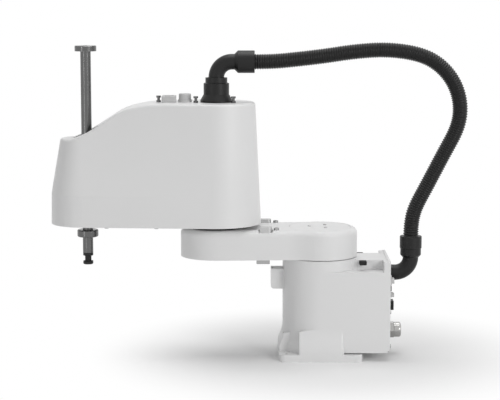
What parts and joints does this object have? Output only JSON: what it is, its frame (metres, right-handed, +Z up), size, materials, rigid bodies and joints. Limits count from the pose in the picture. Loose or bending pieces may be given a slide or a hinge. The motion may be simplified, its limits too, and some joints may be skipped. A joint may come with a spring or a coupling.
{
  "type": "scara robot",
  "caption": "Bench scara robot: round column on a square foot, two horizontal arms, vertical ball screw spline shaft and a black hose arching from base to outer arm.",
  "frame": {"origin": "on the axis of the first joint, in the plane of the mounting face", "axes": "+Z up along the column, both arms lie along -X at rest, the rear panel faces +X"},
  "size_m": [0.8027, 0.1716, 0.6066],
  "materials": {
    "painted_casting": "satin light grey paint",
    "cover_plastic": "satin light grey moulding",
    "light_plastic": "matte pale grey",
    "dark_plastic": "semi-matte black",
    "hose": "corrugated black",
    "rubber": "black rubber",
    "polished_steel": "ground bright steel",
    "dark_metal": "grey blackened steel",
    "machined_steel": "machined steel",
    "motor_black": "black enamel",
    "machined_aluminium": "machined aluminium",
    "nickel_brass": "nickel plated brass"
  },
  "bodies": {
    "base": {"base_casting": "painted_casting", "rear_panel": "painted_casting", "rear_panel_screws": "machined_steel", "power_connector": "dark_plastic", "signal_connector": "light_plastic", "network_socket": "dark_plastic", "base_air_fittings": "light_plastic", "gland_body": "nickel_brass", "gland_cap": "nickel_brass", "lower_elbow": "dark_plastic", "lower_hose_nut": "dark_plastic", "j1_motor": "motor_black", "j1_motor_plate": "machined_aluminium", "j1_reducer_case": "machined_steel", "j1_bumpers": "rubber", "j1_seal": "rubber"},
    "arm_1": {"arm_1_casting": "painted_casting", "j1_output_flange": "machined_steel", "j1_cover_disc": "cover_plastic", "j1_cover_screws": "machined_steel", "j1_stop_block": "dark_metal", "j2_stop_blocks": "dark_metal", "j2_stop_screws": "machined_steel", "j2_output_flange": "machined_steel", "j2_seal": "rubber", "conduit_hose": "hose"},
    "arm_2": {"arm_2_casting": "painted_casting", "arm_2_cover": "cover_plastic", "cover_screws": "machined_steel", "j2_motor": "motor_black", "j2_reducer_case": "machined_steel", "j2_stop_pin": "dark_metal", "shaft_seal": "rubber", "bearing_tower": "machined_aluminium", "spline_bearings": "machined_steel", "screw_bearings": "machined_steel", "screw_motor": "motor_black", "screw_motor_brake": "motor_black", "screw_belt": "rubber", "rotation_motor": "motor_black", "rotation_motor_bracket": "machined_aluminium", "rotation_belt": "rubber", "upper_elbow": "dark_plastic", "elbow_locknut": "machined_aluminium", "upper_hose_nut": "dark_plastic", "signal_block": "light_plastic", "round_connector": "light_plastic", "top_air_fittings": "polished_steel"},
    "spline_drive": {"spline_nut": "machined_steel", "rotation_pulley": "machined_aluminium"},
    "screw_drive": {"screw_nut": "machined_steel", "screw_pulley": "machined_aluminium"},
    "screw_motor_rotor": {"screw_motor_pulley": "machined_aluminium"},
    "rotation_motor_rotor": {"rotation_motor_pulley": "machined_aluminium"},
    "z_shaft": {"spline_shaft": "polished_steel", "upper_collar": "polished_steel", "lower_collar": "polished_steel", "end_cap": "dark_plastic"}
  },
  "joints": [
    {"name": "j1", "type": "hinge", "parent": "base", "child": "arm_1", "pos_m": [0, 0, 0.195], "axis": [0, 0, 1], "range_deg": [-140, 140], "deforming": ["conduit_hose"]},
    {"name": "j2", "type": "hinge", "parent": "arm_1", "child": "arm_2", "pos_m": [-0.2, 0, 0.2585], "axis": [0, 0, 1], "range_deg": [-145, 145], "deforming": ["conduit_hose"]},
    {"name": "j4", "type": "hinge", "parent": "arm_2", "child": "spline_drive", "pos_m": [-0.45, 0, 0.3], "axis": [0, 0, 1], "range_deg": [-360, 360]},
    {"name": "j3", "type": "slide", "parent": "spline_drive", "child": "z_shaft", "axis": [0, 0, 1], "range_m": [-0.168, 0.012]},
    {"name": "screw_nut_turn", "type": "hinge", "parent": "spline_drive", "child": "screw_drive", "pos_m": [-0.45, 0, 0.38], "axis": [0, 0, 1], "range_deg": [-3100, 3100]},
    {"name": "screw_motor_turn", "type": "hinge", "parent": "arm_2", "child": "screw_motor_rotor", "pos_m": [-0.365, 0.027, 0.39], "axis": [0, 0, 1], "range_deg": [-9300, 9300]},
    {"name": "rotation_motor_turn", "type": "hinge", "parent": "arm_2", "child": "rotation_motor_rotor", "pos_m": [-0.35, -0.031, 0.31], "axis": [0, 0, 1], "range_deg": [-1090, 1090]}
  ],
  "couplings": [
    {"joint": "screw_nut_turn", "follows": "j3", "rad_per_m": 314.16},
    {"joint": "screw_motor_turn", "follows": "j3", "rad_per_m": 942.48},
    {"joint": "rotation_motor_turn", "follows": "j4", "ratio": 3}
  ]
}
